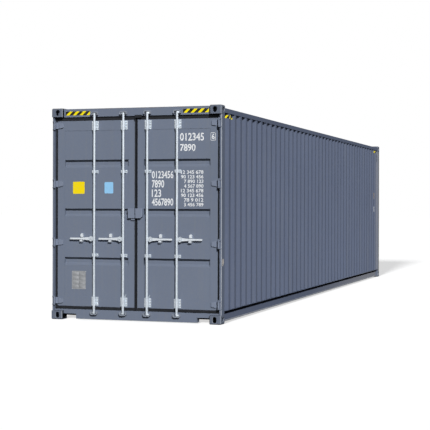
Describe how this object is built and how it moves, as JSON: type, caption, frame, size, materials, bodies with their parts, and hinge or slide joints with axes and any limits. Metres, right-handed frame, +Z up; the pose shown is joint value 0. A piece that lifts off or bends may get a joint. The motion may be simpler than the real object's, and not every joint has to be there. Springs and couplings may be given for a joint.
{
  "type": "shipping container",
  "caption": "High cube dry freight container with corrugated steel walls, corner castings and a pair of end doors closed by locking bars with cams, keepers and lifting handles.",
  "frame": {"origin": "middle of the footprint, on the ground under the bottom corner castings", "axes": "+X along the container from the doors to the closed end, +Z up, +Y to the left door as seen from outside the doors"},
  "size_m": [12.192, 2.438, 2.896],
  "materials": {
    "paint": "satin",
    "underbody": "matt",
    "galvanised": "satin",
    "rubber": "matt",
    "plywood": "matt"
  },
  "bodies": {
    "container": {"bottom_corner_castings": "paint", "bottom_side_rails": "paint", "cam_keepers": "paint", "cross_members": "underbody", "door_header": "paint", "door_sill": "paint", "floor_boards": "plywood", "front_corner_posts": "paint", "front_header": "paint", "front_sill": "paint", "front_wall": "paint", "gooseneck_tunnel": "underbody", "hinge_lugs": "paint", "lashing_rings": "paint", "rear_corner_post_left": "paint", "rear_corner_post_right": "paint", "roof_corner_plates": "paint", "roof_panel": "paint", "side_wall_left": "paint", "side_wall_right": "paint", "top_corner_castings": "paint", "top_side_rails": "paint", "ventilators": "paint"},
    "left_door": {"left_door_bar_guides": "galvanised", "left_door_frame": "paint", "left_door_gasket": "rubber", "left_door_handle_catches": "galvanised", "left_door_hinges": "paint", "left_door_lock_box": "paint", "left_door_panel": "paint"},
    "right_door": {"right_door_bar_guides": "galvanised", "right_door_frame": "paint", "right_door_gasket": "rubber", "right_door_handle_catches": "galvanised", "right_door_hinges": "paint", "right_door_lock_box": "paint", "right_door_panel": "paint"},
    "left_inner_locking_bar": {"left_inner_locking_bar": "galvanised"},
    "left_outer_locking_bar": {"left_outer_locking_bar": "galvanised"},
    "right_inner_locking_bar": {"right_inner_locking_bar": "galvanised"},
    "right_outer_locking_bar": {"right_outer_locking_bar": "galvanised"},
    "left_inner_handle": {"left_inner_handle": "galvanised"},
    "left_outer_handle": {"left_outer_handle": "galvanised"},
    "right_inner_handle": {"right_inner_handle": "galvanised"},
    "right_outer_handle": {"right_outer_handle": "galvanised"}
  },
  "joints": [
    {"name": "left_door_swing", "type": "hinge", "parent": "container", "child": "left_door", "pos_m": [-6.082, 1.18, 1.456], "axis": [0, 0, -1], "range_deg": [0, 260]},
    {"name": "right_door_swing", "type": "hinge", "parent": "container", "child": "right_door", "pos_m": [-6.082, -1.18, 1.456], "axis": [0, 0, 1], "range_deg": [0, 260]},
    {"name": "left_outer_locking_bar_turn", "type": "hinge", "parent": "left_door", "child": "left_outer_locking_bar", "pos_m": [-6.068, 0.595, 1.4575], "axis": [0, 0, -1], "range_deg": [-100, 0]},
    {"name": "left_outer_handle_lift", "type": "hinge", "parent": "left_outer_locking_bar", "child": "left_outer_handle", "pos_m": [-6.067, 0.64, 1.112], "axis": [1, 0, 0], "range_deg": [0, 15]},
    {"name": "left_inner_locking_bar_turn", "type": "hinge", "parent": "left_door", "child": "left_inner_locking_bar", "pos_m": [-6.068, 0.172, 1.4575], "axis": [0, 0, -1], "range_deg": [-100, 0]},
    {"name": "left_inner_handle_lift", "type": "hinge", "parent": "left_inner_locking_bar", "child": "left_inner_handle", "pos_m": [-6.067, 0.217, 1.112], "axis": [1, 0, 0], "range_deg": [0, 15]},
    {"name": "right_outer_locking_bar_turn", "type": "hinge", "parent": "right_door", "child": "right_outer_locking_bar", "pos_m": [-6.068, -0.595, 1.4575], "axis": [0, 0, 1], "range_deg": [-100, 0]},
    {"name": "right_outer_handle_lift", "type": "hinge", "parent": "right_outer_locking_bar", "child": "right_outer_handle", "pos_m": [-6.067, -0.64, 1.112], "axis": [-1, 0, 0], "range_deg": [0, 15]},
    {"name": "right_inner_locking_bar_turn", "type": "hinge", "parent": "right_door", "child": "right_inner_locking_bar", "pos_m": [-6.068, -0.172, 1.4575], "axis": [0, 0, 1], "range_deg": [-100, 0]},
    {"name": "right_inner_handle_lift", "type": "hinge", "parent": "right_inner_locking_bar", "child": "right_inner_handle", "pos_m": [-6.067, -0.217, 1.112], "axis": [-1, 0, 0], "range_deg": [0, 15]}
  ]
}
